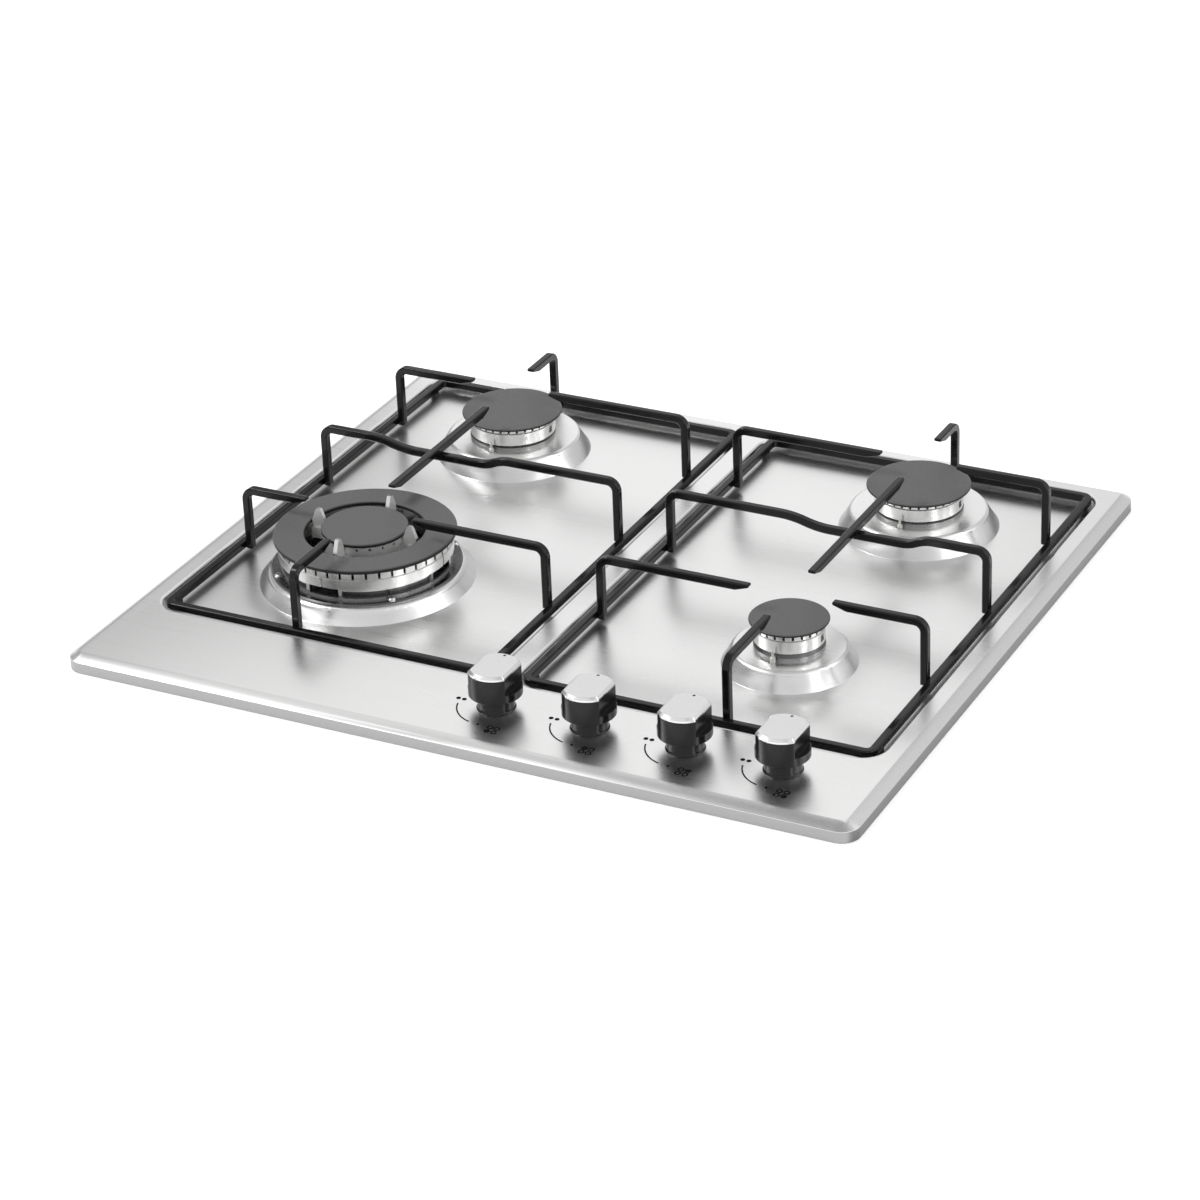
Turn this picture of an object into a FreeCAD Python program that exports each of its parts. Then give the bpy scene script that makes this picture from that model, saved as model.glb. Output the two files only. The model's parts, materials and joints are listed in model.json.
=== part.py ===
import FreeCAD, Part
import math
import os
import Sketcher

# Four-burner gas cooktop. Lengths in millimetres, angles in degrees.
# X runs along the width, Y from the front (-) to the back (+), Z up.

SIZES = {
    # panel
    "panel_width": 580.0,
    "panel_depth": 510.0,
    "panel_corner": 13.0,
    "bevel_width": 8.1,
    "bevel_drop": 4.2,
    "skirt_height": 8.0,
    "sheet": 1.0,
    # levels
    "inlet_drop": 16.0,
    "pan_depth": 44.0,
    # wells pressed into the panel
    "well_inner": 9.0,
    "well_outer": 270.0,
    "well_front": -171.0,
    "well_back": 237.0,
    "well_depth": 7.5,
    "well_corner": 17.0,
    "well_rolled_edge": 2.5,
    # base pan and seal
    "pan_width": 556.0,
    "pan_length": 486.0,
    "pan_corner": 12.0,
    "pan_sheet": 1.0,
    "seal_width": 8.0,
    "seal_height": 3.0,
    "vent_run": 240.0,
    # inner burner and throat of the wide burner
    "inner_ring": 29.6,
    "inner_cap_seat": 36.9,
    "ring_throat": 44.0,
    "window_half": 11.5,
    # pan supports
    "rod": 5.5,
    "grate_above_panel": 1.7,
    "grate_inner": 12.5,
    "grate_outer": 266.0,
    "grate_front": -166.5,
    "grate_back": 234.5,
    "grate_corner": 8.0,
    "finger_height": 45.0,
    "finger_bend": 10.0,
    "finger_tip": 2.2,
    "finger_tip_length": 10.0,
    "middle_bar_y": 47.5,
    "dip_near": 19.0,
    "dip_near_run": 38.0,
    "dip_far": 33.0,
    "dip_far_run": 24.0,
    "foot_radius": 3.4,
    # controls
    "knob_first_x": 14.8,
    "knob_pitch": 68.4,
    "knob_y": -203.2,
    "knob_radius": 18.0,
    "knob_flat": 13.5,
    "knob_lift": 10.0,
    "knob_shell": 2.2,
    "knob_top": 27.5,
    "knob_cap_height": 3.0,
    "knob_ledge": 16.0,
    "knob_stroke": 3.0,
    "collar_radius": 12.4,
    "spindle_radius": 4.0,
    "slide_gap": 0.05,
    "turn_gap": 0.05,
    # gas path
    "feed_z": 28.0,
    "feed_radius": 3.0,
    "rail_radius": 8.0,
    "rail_y": -228.0,
    "joint_gap": 0.05,
    "inlet_x": 235.0,
    "inlet_y": 205.0,
    "inlet_radius": 10.478,
    "thread_relief": 2.0,
    # worktop clamps
    "clamp_x": 200.0,
    "clamp_width": 16.0,
    "clamp_plate": 2.0,
    "clamp_reach": 11.0,
}

# One row per burner: place, dish, crown and cap. Heights are above the well floor.
BURNERS = {
    "front_left": {
        "x": -162.5, "y": -62.0, "crease": 76.0, "crest": 67.0, "dish": 10.0,
        "crown": 61.5, "crown_foot": 12.0, "ports": 27.5, "cap": 64.3, "cap_seat": 33.7,
    },
    "rear_left": {
        "x": -163.0, "y": 158.5, "crease": 57.0, "crest": 47.0, "dish": 14.0,
        "crown": 31.5, "crown_foot": 17.0, "ports": 26.5, "cap": 37.0, "cap_seat": 31.5,
    },
    "rear_right": {
        "x": 162.0, "y": 158.5, "crease": 57.0, "crest": 47.0, "dish": 14.0,
        "crown": 31.5, "crown_foot": 17.0, "ports": 26.5, "cap": 37.0, "cap_seat": 31.5,
    },
    "front_right": {
        "x": 160.5, "y": -61.0, "crease": 46.0, "crest": 37.0, "dish": 13.0,
        "crown": 24.0, "crown_foot": 17.5, "ports": 27.0, "cap": 27.2, "cap_seat": 32.0,
    },
}
SMALL = ["rear_left", "rear_right", "front_right"]
KNOBS = ["front_left", "rear_left", "rear_right", "front_right"]

doc = FreeCAD.newDocument("gas_cooktop")
sheet = doc.addObject("Spreadsheet::Sheet", "Sizes")
made = []


class Size:
    # A number together with the expression that gives it in the document.
    def __init__(self, number, text):
        self.number = float(number)
        self.text = text

    def __add__(self, other):
        other = as_size(other)
        return Size(self.number + other.number, "(%s + %s)" % (self.text, other.text))

    def __sub__(self, other):
        other = as_size(other)
        return Size(self.number - other.number, "(%s - %s)" % (self.text, other.text))

    def __mul__(self, other):
        other = as_size(other)
        return Size(self.number * other.number, "(%s * %s)" % (self.text, other.text))

    def __truediv__(self, other):
        other = as_size(other)
        return Size(self.number / other.number, "(%s / %s)" % (self.text, other.text))

    def __neg__(self):
        return Size(-self.number, "(0 - %s)" % self.text)

    def __radd__(self, other):
        return as_size(other) + self

    def __rsub__(self, other):
        return as_size(other) - self

    def __rmul__(self, other):
        return as_size(other) * self


def as_size(value):
    if isinstance(value, Size):
        return value
    return Size(value, "%.6g" % value if value >= 0 else "(0 - %.6g)" % -value)


def write_sheet():
    rows = dict(SIZES)
    for place, burner in BURNERS.items():
        for key, value in burner.items():
            rows["%s_%s" % (place, key)] = value
    for row, (name, value) in enumerate(rows.items(), start=1):
        sheet.set("A%d" % row, name)
        sheet.set("B%d" % row, "%.6g" % value)
        sheet.setAlias("B%d" % row, name)
    doc.recompute()
    return {name: Size(value, "Sizes." + name) for name, value in rows.items()}


S = write_sheet()
WORKTOP = S["inlet_drop"] + S["pan_depth"]
PANEL_TOP = WORKTOP + S["skirt_height"] + S["bevel_drop"]
WELL_FLOOR = PANEL_TOP - S["well_depth"]
PAN_FLOOR = S["inlet_drop"] + S["pan_sheet"]
GRATE_TOP = PANEL_TOP + S["grate_above_panel"]
FINGER_TOP = PANEL_TOP + S["finger_height"]
KNOB_X = {place: S["knob_first_x"] + S["knob_pitch"] * i for i, place in enumerate(KNOBS)}


# ---- drawing and building helpers ----

def bind(thing, name, value):
    value = as_size(value)
    if not name.startswith("."):
        setattr(thing, name, value.number)
    thing.setExpression(name, value.text)


def place(thing, at, name=".Placement"):
    for axis, value in zip("xyz", at):
        bind(thing, "%s.Base.%s" % (name, axis), value)


def new_body(name, at=(0, 0, 0)):
    body = doc.addObject("PartDesign::Body", name)
    body.Label = name
    place(body, at)
    return body


def new_sketch(body, role, offset=(0, 0, 0)):
    sketch = body.newObject("Sketcher::SketchObject", body.Name + "_sketch")
    plane = [item for item in body.Origin.OriginFeatures if item.Role == role][0]
    sketch.AttachmentSupport = [(plane, "")]
    sketch.MapMode = "FlatFace"
    place(sketch, offset, ".AttachmentOffset")
    return sketch


class Rules:
    # Collects a sketch's constraints, adds them in one go and binds their sizes.
    def __init__(self, sketch):
        self.sketch = sketch
        self.rules = []
        self.sizes = []

    def join(self, *what):
        self.rules.append(Sketcher.Constraint("Coincident", *what))
        self.sizes.append(None)

    def hold(self, kind, *what):
        value = as_size(what[-1])
        self.rules.append(Sketcher.Constraint(kind, *what[:-1], value.number))
        self.sizes.append(value.text)

    def add(self):
        first = self.sketch.ConstraintCount
        self.sketch.addConstraint(self.rules)
        for index, text in enumerate(self.sizes, start=first):
            if text is not None:
                self.sketch.setExpression("Constraints[%d]" % index, text)


def add_segment(sketch, start, end, radius):
    # Adds a line, or an arc for a signed radius (+ turns left). Gives its two end numbers.
    a = FreeCAD.Vector(start[0].number, start[1].number, 0)
    b = FreeCAD.Vector(end[0].number, end[1].number, 0)
    if radius is None:
        return sketch.addGeometry(Part.LineSegment(a, b), False), 1, 2
    reach = abs(radius.number)
    side = 1 if radius.number > 0 else -1
    chord = b - a
    height = math.sqrt(max(reach ** 2 - chord.Length ** 2 / 4, 0))
    normal = FreeCAD.Vector(-chord.y, chord.x, 0).normalize()
    centre = (a + b) * 0.5 + normal * (height * side)
    angle_a = math.atan2(a.y - centre.y, a.x - centre.x)
    angle_b = math.atan2(b.y - centre.y, b.x - centre.x)
    circle = Part.Circle(centre, FreeCAD.Vector(0, 0, 1), reach)
    if side > 0:
        arc = Part.ArcOfCircle(circle, angle_a, angle_b)
        return sketch.addGeometry(arc, False), 1, 2
    arc = Part.ArcOfCircle(circle, angle_b, angle_a)
    return sketch.addGeometry(arc, False), 2, 1


def draw_path(sketch, steps, closed=True):
    # Each step is (x, y) or (x, y, radius of the arc that leaves it).
    points = [(as_size(step[0]), as_size(step[1])) for step in steps]
    radii = [as_size(step[2]) if len(step) > 2 else None for step in steps]
    count = len(points) if closed else len(points) - 1
    parts = []
    for i in range(count):
        parts.append(add_segment(sketch, points[i], points[(i + 1) % len(points)], radii[i]))
    rules = Rules(sketch)
    for i, (number, first, last) in enumerate(parts):
        if i + 1 < count or closed:
            following = parts[(i + 1) % count]
            rules.join(number, last, following[0], following[1])
        rules.hold("DistanceX", -1, 1, number, first, points[i][0])
        rules.hold("DistanceY", -1, 1, number, first, points[i][1])
        if radii[i] is not None:
            rules.hold("Radius", number, radii[i] if radii[i].number > 0 else -radii[i])
    if not closed:
        number, first, last = parts[-1]
        rules.hold("DistanceX", -1, 1, number, last, points[-1][0])
        rules.hold("DistanceY", -1, 1, number, last, points[-1][1])
    rules.add()


def draw_circle(sketch, x, y, radius):
    x, y, radius = as_size(x), as_size(y), as_size(radius)
    centre = FreeCAD.Vector(x.number, y.number, 0)
    circle = Part.Circle(centre, FreeCAD.Vector(0, 0, 1), radius.number)
    number = sketch.addGeometry(circle, False)
    rules = Rules(sketch)
    rules.hold("DistanceX", -1, 1, number, 3, x)
    rules.hold("DistanceY", -1, 1, number, 3, y)
    rules.hold("Radius", number, radius)
    rules.add()


def draw_box(sketch, x0, x1, y0, y1):
    draw_path(sketch, [(x0, y0), (x1, y0), (x1, y1), (x0, y1)])


def draw_rounded(sketch, x0, x1, y0, y1, r):
    x0, x1, y0, y1, r = [as_size(value) for value in (x0, x1, y0, y1, r)]
    draw_path(sketch, [
        (x0 + r, y0), (x1 - r, y0, r), (x1, y0 + r), (x1, y1 - r, r),
        (x1 - r, y1), (x0 + r, y1, r), (x0, y1 - r), (x0, y0 + r, r)])


def draw_frame(sketch, x0, x1, y0, y1, r, wall):
    draw_rounded(sketch, x0, x1, y0, y1, r)
    draw_rounded(sketch, x0 + wall, x1 - wall, y0 + wall, y1 - wall, r - wall)


def feature(body, kind, sketch, length=None):
    item = body.newObject("PartDesign::" + kind, body.Name + "_" + kind.lower())
    item.Profile = sketch
    if length is not None:
        bind(item, "Length", length)
    body.Tip = item
    return item


def pad(body, sketch, length):
    return feature(body, "Pad", sketch, length)


def pocket(body, sketch, length):
    return feature(body, "Pocket", sketch, length)


def turn(body, steps, kind="Revolution", offset=(0, 0, 0)):
    sketch = new_sketch(body, "XZ_Plane", offset)
    draw_path(sketch, steps)
    item = feature(body, kind, sketch)
    item.ReferenceAxis = (sketch, ["V_Axis"])
    item.Angle = 360
    return item


def polar(body, original, count):
    doc.recompute()
    pattern = body.newObject("PartDesign::PolarPattern", body.Name + "_pattern")
    pattern.Originals = [original]
    axis = [item for item in body.Origin.OriginFeatures if item.Role == "Z_Axis"][0]
    pattern.Axis = (axis, [""])
    pattern.Angle = 360
    pattern.Occurrences = count
    body.Tip = pattern
    return pattern


def edges(shape, test):
    return ["Edge%d" % (i + 1) for i, edge in enumerate(shape.Edges) if test(edge.BoundBox)]


def round_edges(body, test, radius):
    doc.recompute()
    base = body.Tip
    item = body.newObject("PartDesign::Fillet", body.Name + "_fillet")
    item.Base = (base, edges(base.Shape, test))
    bind(item, "Radius", radius)
    body.Tip = item
    return item


def bevel_edges(body, test, size):
    doc.recompute()
    base = body.Tip
    item = body.newObject("PartDesign::Chamfer", body.Name + "_chamfer")
    item.Base = (base, edges(base.Shape, test))
    bind(item, "Size", size)
    body.Tip = item
    return item


def level(z):
    # True for a flat edge that lies at the given height.
    z = as_size(z).number
    return lambda box: abs(box.ZMin - z) < 0.01 and abs(box.ZMax - z) < 0.01


def keep(thing, name=None):
    if name:
        thing.Label = name
    made.append(thing)
    return thing


def group(name, things):
    compound = doc.addObject("Part::Compound", name)
    compound.Links = things
    return keep(compound, name)


def spot(key):
    return S[key + "_x"], S[key + "_y"]


# ---- panel, seal and base pan ----

def make_top_panel():
    half_x, half_y = S["panel_width"] / 2, S["panel_depth"] / 2
    body = new_body("top_panel", (0, 0, WORKTOP))
    top = S["skirt_height"] + S["bevel_drop"]
    sketch = new_sketch(body, "XY_Plane")
    draw_rounded(sketch, -half_x, half_x, -half_y, half_y, S["panel_corner"])
    pad(body, sketch, top)
    doc.recompute()
    base = body.Tip
    bevel = body.newObject("PartDesign::Chamfer", "top_panel_bevel")
    bevel.Base = (base, edges(base.Shape, level(top)))
    bevel.ChamferType = 1
    bind(bevel, "Size", S["bevel_drop"])
    bind(bevel, "Size2", S["bevel_width"])
    body.Tip = bevel

    sketch = new_sketch(body, "XY_Plane", (0, 0, top))
    front, back, corner = S["well_front"], S["well_back"], S["well_corner"]
    draw_rounded(sketch, S["well_inner"], S["well_outer"], front, back, corner)
    draw_rounded(sketch, -S["well_outer"], -S["well_inner"], front, back, corner)
    pocket(body, sketch, S["well_depth"])
    reach = S["well_outer"].number + 0.5
    at_top = level(top)
    round_edges(body, lambda box: at_top(box) and box.XMax < reach and box.XMin > -reach,
                S["well_rolled_edge"])

    doc.recompute()
    base = body.Tip
    open_side = ["Face%d" % (i + 1) for i, face in enumerate(base.Shape.Faces)
                 if face.BoundBox.ZMax < 0.001]
    shell = body.newObject("PartDesign::Thickness", "top_panel_shell")
    shell.Base = (base, open_side)
    bind(shell, "Value", S["sheet"])
    shell.Reversed = True
    shell.Join = 1
    body.Tip = shell

    floor = top - S["well_depth"]
    sketch = new_sketch(body, "XY_Plane", (0, 0, floor + 1))
    for key in BURNERS:
        x, y = spot(key)
        draw_circle(sketch, x, y, S[key + "_crease"] + 0.5)
    pocket(body, sketch, S["sheet"] + 2)
    for key in BURNERS:
        x, y = spot(key)
        turn(body, dish_outline(key, floor), offset=(x, 0, -y))
    sketch = new_sketch(body, "XY_Plane", (0, 0, top + 1))
    for key in KNOBS:
        draw_circle(sketch, KNOB_X[key], S["knob_y"], S["collar_radius"] - 3)
    pocket(body, sketch, S["sheet"] + 2)
    sketch = new_sketch(body, "XY_Plane", (0, 0, floor + 20))
    for key in SMALL:
        x, y = spot(key)
        draw_circle(sketch, x, y - electrode_reach(key), 2.4)
    x, y = spot("front_left")
    for angle in SCREW_ANGLES:
        reach = S["front_left_crest"] - 3.2
        draw_circle(sketch, x + reach * math.cos(angle), y + reach * math.sin(angle), 1.6)
    pocket(body, sketch, 22)
    return keep(body)


def dish_outline(key, floor):
    # Raised ring pressed up round a burner, one sheet thick, open in the middle.
    crease, crest = S[key + "_crease"], S[key + "_crest"]
    rise, sheet_now = S[key + "_dish"], S["sheet"]
    hole = panel_hole(key)
    bend = 4.5
    return [
        (crease + 1, floor),
        (crease, floor),
        (crest + 3.2, floor + rise - 3.2, bend),
        (crest, floor + rise),
        (hole, floor + rise),
        (hole, floor + rise - sheet_now),
        (crest + 0.4, floor + rise - sheet_now),
        (crest + 2.4, floor + rise - 3.6),
        (crease - 1.2, floor - sheet_now),
        (crease + 1, floor - sheet_now)]


def panel_hole(key):
    if key == "front_left":
        return S["front_left_crown"] - 3
    return S[key + "_crown"] - 2.5


def electrode_reach(key):
    return S[key + "_crown"] + 3.1


def make_rim_seal():
    half_x = S["panel_width"] / 2 - S["sheet"] - 0.3
    half_y = S["panel_depth"] / 2 - S["sheet"] - 0.3
    body = new_body("rim_seal", (0, 0, WORKTOP))
    sketch = new_sketch(body, "XY_Plane")
    corner = S["panel_corner"] - S["sheet"]
    draw_frame(sketch, -half_x, half_x, -half_y, half_y, corner, S["seal_width"])
    pad(body, sketch, S["seal_height"])
    return keep(body)


def make_base_pan():
    half_x, half_y, wall = S["pan_width"] / 2, S["pan_length"] / 2, S["pan_sheet"]
    height = S["pan_depth"] + S["seal_height"] + wall
    body = new_body("base_pan", (0, 0, S["inlet_drop"]))
    sketch = new_sketch(body, "XY_Plane")
    draw_rounded(sketch, -half_x, half_x, -half_y, half_y, S["pan_corner"])
    pad(body, sketch, height)
    bevel_edges(body, level(0), 0.8)
    sketch = new_sketch(body, "XY_Plane", (0, 0, height))
    corner = S["pan_corner"] - wall
    draw_rounded(sketch, -half_x + wall, half_x - wall, -half_y + wall, half_y - wall, corner)
    pocket(body, sketch, height - wall)
    sketch = new_sketch(body, "XY_Plane", (0, 0, height - wall))
    rim_x = S["panel_width"] / 2 - S["sheet"]
    rim_y = S["panel_depth"] / 2 - S["sheet"]
    corner = S["panel_corner"] - S["sheet"]
    draw_rounded(sketch, -rim_x, rim_x, -rim_y, rim_y, corner)
    inner_corner = S["pan_corner"] - wall
    draw_rounded(sketch, -half_x + wall, half_x - wall, -half_y + wall, half_y - wall,
                 inner_corner)
    pad(body, sketch, wall)
    sketch = new_sketch(body, "XY_Plane", (0, 0, wall + 1))
    draw_circle(sketch, S["inlet_x"], S["inlet_y"], S["inlet_radius"] + 0.2)
    for key in BURNERS:
        x, y = spot(key)
        draw_circle(sketch, x, y, 2.3)
    pocket(body, sketch, wall + 2)
    sketch = new_sketch(body, "XY_Plane", (-S["vent_run"] / 2, 70, wall + 1))
    for y in (0, 12):
        draw_box(sketch, -12, 12, y - 2, y + 2)
    vents = pocket(body, sketch, wall + 2)
    doc.recompute()
    row = body.newObject("PartDesign::LinearPattern", "base_pan_vents")
    row.Originals = [vents]
    row.Direction = (sketch, ["H_Axis"])
    bind(row, "Length", S["vent_run"])
    row.Occurrences = 7
    body.Tip = row
    return keep(body)


# ---- burners ----

def make_small_cup(key):
    # Cup dropped in from above; its foot stands on the base pan.
    x, y = spot(key)
    crown, foot = S[key + "_crown"], S[key + "_crown_foot"]
    floor = WELL_FLOOR
    seat = floor + S[key + "_dish"]
    body = new_body("burner_cup_" + key, (x, y, 0))
    turn(body, [
        (0, PAN_FLOOR), (13, PAN_FLOOR), (13, PAN_FLOOR + 22),
        (crown - 7.5, floor - 12), (crown - 3, floor - 4), (crown - 3, seat),
        (crown + 0.3, seat), (crown + 0.3, seat + 2), (crown - 1.5, floor + foot),
        (crown - 5, floor + foot), (crown - 5.5, floor - 4), (crown - 9, floor - 10),
        (8, PAN_FLOOR + 24), (8, PAN_FLOOR + 20), (4.5, PAN_FLOOR + 20),
        (4.5, PAN_FLOOR + 7), (0, PAN_FLOOR + 7)])
    return drill_cup(body, key)


def make_wide_cup():
    key = "front_left"
    x, y = spot(key)
    floor = WELL_FLOOR
    seat = floor + S["front_left_dish"]
    hole = panel_hole(key)
    body = new_body("burner_cup_" + key, (x, y, 0))
    turn(body, [
        (0, PAN_FLOOR), (13, PAN_FLOOR), (13, floor - 26), (hole - 10, floor - 24),
        (hole - 0.5, floor - 12), (hole - 0.5, seat), (S["front_left_crest"], seat),
        (S["front_left_crest"], seat + 1), (S["front_left_crest"] - 1, seat + 2),
        (hole - 3, seat + 2), (hole - 3, floor - 11), (hole - 11, floor - 21),
        (20, floor - 21), (20, floor + 14), (14, floor + 14), (14, floor + 9),
        (10, floor - 10), (8, PAN_FLOOR + 24), (8, PAN_FLOOR + 20), (4.5, PAN_FLOOR + 20),
        (4.5, PAN_FLOOR + 7), (0, PAN_FLOOR + 7)])
    sketch = new_sketch(body, "XY_Plane", (0, 0, seat + 3))
    for angle in SCREW_ANGLES:
        reach = S["front_left_crest"] - 3.2
        draw_circle(sketch, reach * math.cos(angle), reach * math.sin(angle), 1.6)
    pocket(body, sketch, 4)
    sketch = new_sketch(body, "XY_Plane", (0, 0, floor - 18))
    draw_circle(sketch, 0, -37, 2.2)
    pocket(body, sketch, 12)
    return drill_cup(body, key)


def drill_cup(body, key):
    # Side hole for the feed pipe and screw hole in the foot.
    side = FEED_SIDE[key]
    sketch = new_sketch(body, "YZ_Plane")
    draw_circle(sketch, 0, S["feed_z"], S["feed_radius"] + S["joint_gap"])
    drill = pocket(body, sketch, 14)
    drill.Reversed = side > 0
    sketch = new_sketch(body, "XY_Plane", (0, 0, PAN_FLOOR + 6))
    draw_circle(sketch, 0, 0, 1.8)
    pocket(body, sketch, 7)
    return keep(body)


SCREW_ANGLES = [math.radians(angle) for angle in (-135, -45, 45, 135)]
FEED_SIDE = {"front_left": 1, "rear_left": 1, "rear_right": -1, "front_right": 1}


def make_small_crown(key, slots):
    x, y = spot(key)
    crown, foot = S[key + "_crown"], S[key + "_crown_foot"]
    ports, seat = S[key + "_ports"], S[key + "_cap_seat"]
    body = new_body("burner_crown_" + key, (x, y, WELL_FLOOR))
    turn(body, [
        (crown - 5.6, foot - 4), (crown - 5.6, foot), (crown - 0.8, foot),
        (crown, foot + 0.8), (crown, ports), (crown - 0.6, ports + 0.6),
        (crown - 0.6, seat), (crown - 5, seat), (crown - 5, foot + 4),
        (9.5, foot + 4), (9.5, seat - 2.5), (7, seat - 2.5),
        (7.5, foot - 4)])
    sketch = new_sketch(body, "XY_Plane", (0, 0, seat + 1))
    draw_box(sketch, crown - 6, crown + 1, -0.8, 0.8)
    cut = pocket(body, sketch, seat + 1 - ports - 0.8)
    polar(body, cut, slots)
    sketch = new_sketch(body, "XY_Plane", (0, 0, ports - 1.5))
    draw_box(sketch, crown - 2.4, crown + 1, -2.2, 2.2)
    pocket(body, sketch, 5)
    return keep(body)


def make_small_cap(key):
    x, y = spot(key)
    cap, crown, seat = S[key + "_cap"], S[key + "_crown"], S[key + "_cap_seat"]
    body = new_body("burner_cap_" + key, (x, y, WELL_FLOOR + seat))
    turn(body, [
        (0, 0), (crown - 7.5, 0), (crown - 7.5, -2), (crown - 5.3, -2), (crown - 5.3, 0),
        (cap - 0.4, 0), (cap, 0.4), (cap, 1.2), (cap - 0.8, 1.9), (cap - 8, 2.2), (0, 2.2)])
    return keep(body)


def make_wide_crown():
    # One casting: inner ring, four bridges with upright fins, and an outer ring with
    # four windows between legs, a plain band and a ring of flame slots.
    x, y = spot("front_left")
    crown, foot = S["front_left_crown"], S["front_left_crown_foot"]
    ports, seat = S["front_left_ports"], S["front_left_cap_seat"]
    inner, inner_seat = S["inner_ring"], S["inner_cap_seat"]
    throat, window = S["ring_throat"], S["window_half"]
    body = new_body("burner_crown_front_left", (x, y, WELL_FLOOR))
    turn(body, [
        (13.8, 10), (13.9, 14), (20, 14), (22, 18), (inner - 1, 22), (inner, 24),
        (inner, inner_seat), (inner - 4, inner_seat), (inner - 4, 26), (12, 26), (12, 32),
        (9.5, 32), (10, 10)])
    sketch = new_sketch(body, "XY_Plane", (0, 0, 24))
    for sign in (-1, 1):
        near, far = (inner - 2) * sign, (throat + 3) * sign
        low, high = (near, far) if sign > 0 else (far, near)
        draw_box(sketch, low, high, -3.5, 3.5)
        draw_box(sketch, -3.5, 3.5, low, high)
    pad(body, sketch, 8)
    turn(body, [
        (crown - 4, foot), (crown - 1, foot), (crown - 1, foot + 1.5),
        (crown - 2.6, foot + 1.5), (crown - 2.6, foot + 8), (crown, foot + 8.6),
        (crown, ports), (crown - 0.5, ports + 0.5), (crown - 0.5, seat),
        (crown - 4, seat), (crown - 4, foot + 11), (throat + 3.5, foot + 11),
        (throat + 3.5, seat), (throat, seat), (throat, foot + 8), (crown - 4, foot + 8)])
    sketch = new_sketch(body, "XZ_Plane", (0, 0, -1.5))
    near, far = inner + 1.8, throat - 2.4
    draw_path(sketch, [
        (near, 31), (far, 31), (far, 37), (far - 3, 45), (far - 4, 46), (near + 4, 46),
        (near + 3, 45), (near, 37)])
    fin = pad(body, sketch, 3)
    polar(body, fin, 4)
    sketch = new_sketch(body, "XY_Plane", (0, 0, foot + 8))
    draw_box(sketch, crown - 6, crown + 2, -window, window)
    cut = pocket(body, sketch, 6.5)
    polar(body, cut, 4)
    sketch = new_sketch(body, "XY_Plane", (0, 0, foot + 1))
    draw_box(sketch, crown - 5, crown - 2.2, window, window + 2.5)
    draw_box(sketch, crown - 5, crown - 2.2, -window - 2.5, -window)
    legs = pad(body, sketch, 7.5)
    polar(body, legs, 4)
    sketch = new_sketch(body, "XY_Plane", (0, 0, seat + 1))
    draw_box(sketch, crown - 5, crown + 1, -0.85, 0.85)
    cut = pocket(body, sketch, seat + 1 - ports - 0.7)
    polar(body, cut, 42)
    sketch = new_sketch(body, "YZ_Plane", (0, 0, inner - 5))
    draw_circle(sketch, 0, inner_seat - 2.1, 1)
    cut = pocket(body, sketch, 7)
    cut.Reversed = True
    polar(body, cut, 20)
    sketch = new_sketch(body, "XY_Plane", (0, 0, ports + 0.6))
    draw_box(sketch, crown - 1.2, crown + 1, -0.8, 0.8)
    cut = pocket(body, sketch, 8)
    polar(body, cut, 4)
    return keep(body)


def make_wide_caps():
    x, y = spot("front_left")
    cap, crown, seat = S["front_left_cap"], S["front_left_crown"], S["front_left_cap_seat"]
    throat = S["ring_throat"]
    ring = new_body("burner_cap_front_left", (x, y, WELL_FLOOR + seat))
    turn(ring, [
        (throat - 1.6, 0.6), (throat - 1, 0), (throat + 3.8, 0), (throat + 3.8, -2),
        (throat + 5.5, -2), (throat + 5.5, 0),
        (crown - 6, 0), (crown - 6, -2), (crown - 4.3, -2), (crown - 4.3, 0),
        (cap - 0.6, 0), (cap, 0.6), (cap, 2.3), (cap - 0.9, 3.2),
        (throat - 0.7, 3.2), (throat - 1.6, 2.3)])
    keep(ring)
    inner = S["inner_ring"]
    disc = new_body("inner_cap_front_left", (x, y, WELL_FLOOR + S["inner_cap_seat"]))
    turn(disc, [
        (0, 0), (inner - 6.6, 0), (inner - 6.6, -2), (inner - 4.4, -2), (inner - 4.4, 0),
        (inner + 0.6, 0), (inner + 1.1, 0.5), (inner + 1.1, 2.0), (inner + 0.2, 2.9),
        (0, 2.9)])
    keep(disc)


def make_injectors():
    things = []
    for key in BURNERS:
        x, y = spot(key)
        body = new_body("injector_" + key, (x, y, PAN_FLOOR + 14))
        turn(body, [
            (0.5, 0), (4.4, 0), (4.4, 6), (6.2, 6), (6.2, 9), (3.5, 9), (0.5, 13)])
        things.append(body)
    group("injectors", things)


def make_electrodes():
    things = []
    for key in BURNERS:
        x, y = spot(key)
        reach = as_size(37.0) if key == "front_left" else electrode_reach(key)
        top = WELL_FLOOR + (16 if key == "front_left" else S[key + "_crown_foot"])
        body = new_body("electrode_" + key, (x, y - reach, 0))
        base = WELL_FLOOR - (28 if key == "front_left" else 22)
        turn(body, [
            (0, base), (1.9, base), (1.9, top - 1), (0.8, top), (0.8, top + 4.2),
            (0, top + 4.2)])
        things.append(body)
    group("spark_electrodes", things)


# ---- pan supports ----

def side_leg(name, y, outer, toward, tip):
    # Bent rod that stands on the side bar and reaches in over a burner.
    rod, bend = S["rod"], S["finger_bend"]
    foot = GRATE_TOP - S["rod"]
    body = new_body(name, (0, y, 0))
    sketch = new_sketch(body, "XZ_Plane", (0, 0, -(rod / 2)))
    inner_bend = bend - rod
    draw_path(sketch, leg_outline(outer, toward, tip, foot, rod, bend, inner_bend))
    pad(body, sketch, rod)
    return body


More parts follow.
